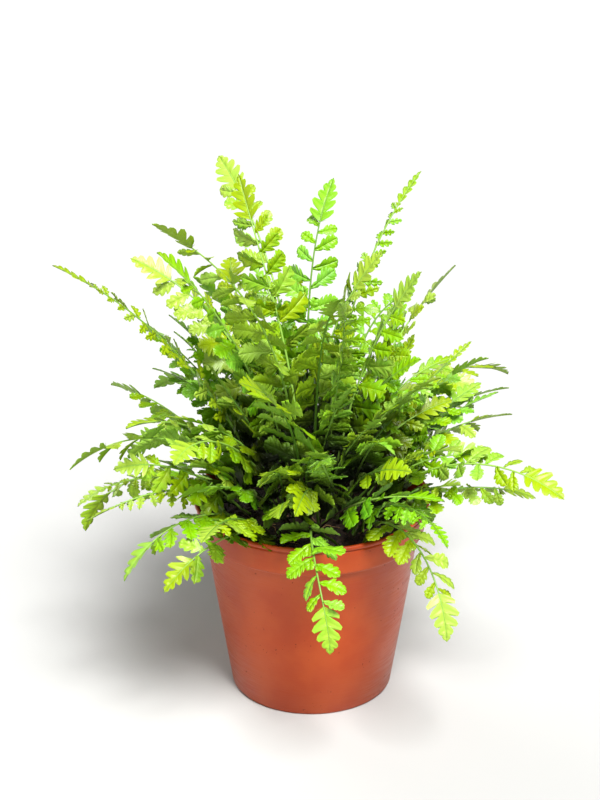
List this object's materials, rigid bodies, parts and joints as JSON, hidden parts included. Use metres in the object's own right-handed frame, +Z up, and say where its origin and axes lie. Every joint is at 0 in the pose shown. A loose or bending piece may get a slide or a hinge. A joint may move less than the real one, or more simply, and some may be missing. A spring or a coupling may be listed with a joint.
{
  "type": "potted fern",
  "caption": "Bushy fern with arching fronds of toothed leaflets, rooted in peat in a round tapered plastic nursery pot with an upright band under its lip.",
  "frame": {"origin": "centre of the pot's foot, on the surface that the pot stands on", "axes": "+Z up, out of the pot's mouth; the side seen in the picture faces -Y"},
  "size_m": [0.2488, 0.2549, 0.2739],
  "materials": {
    "pot": "semi-gloss terracotta-coloured plastic",
    "soil": "damp dark peat",
    "leaf_broad": "semi-gloss mid-green leaf",
    "leaf_cut": "semi-gloss fresh yellow-green leaf",
    "leaf_fine": "semi-gloss deep green leaf"
  },
  "bodies": {
    "root": {"fronds_01_broad": "leaf_broad", "fronds_02_cut": "leaf_cut", "fronds_03_broad": "leaf_broad", "fronds_04_fine": "leaf_fine", "fronds_05_broad": "leaf_broad", "fronds_06_cut": "leaf_cut", "fronds_07_broad": "leaf_broad", "fronds_08_broad": "leaf_broad", "fronds_09_broad": "leaf_broad", "fronds_10_cut": "leaf_cut", "fronds_11_fine": "leaf_fine", "fronds_12_broad": "leaf_broad", "fronds_13_broad": "leaf_broad", "fronds_14_cut": "leaf_cut", "fronds_15_broad": "leaf_broad", "fronds_16_broad": "leaf_broad", "fronds_17_broad": "leaf_broad", "fronds_18_fine": "leaf_fine", "fronds_19_broad": "leaf_broad", "fronds_20_broad": "leaf_broad", "fronds_21_broad": "leaf_broad", "fronds_22_cut": "leaf_cut", "fronds_23_broad": "leaf_broad", "fronds_24_broad": "leaf_broad", "fronds_25_fine": "leaf_fine", "fronds_26_cut": "leaf_cut", "fronds_27_broad": "leaf_broad", "fronds_28_broad": "leaf_broad", "fronds_29_broad": "leaf_broad", "fronds_30_cut": "leaf_cut", "fronds_31_broad": "leaf_broad", "fronds_32_fine": "leaf_fine", "fronds_33_broad": "leaf_broad", "fronds_34_cut": "leaf_cut", "fronds_35_broad": "leaf_broad", "fronds_36_broad": "leaf_broad", "fronds_37_broad": "leaf_broad", "fronds_38_cut": "leaf_cut", "fronds_39_fine": "leaf_fine", "fronds_40_broad": "leaf_broad", "fronds_41_broad": "leaf_broad", "fronds_42_cut": "leaf_cut", "pot": "pot", "soil": "soil"}
  },
  "joints": []
}
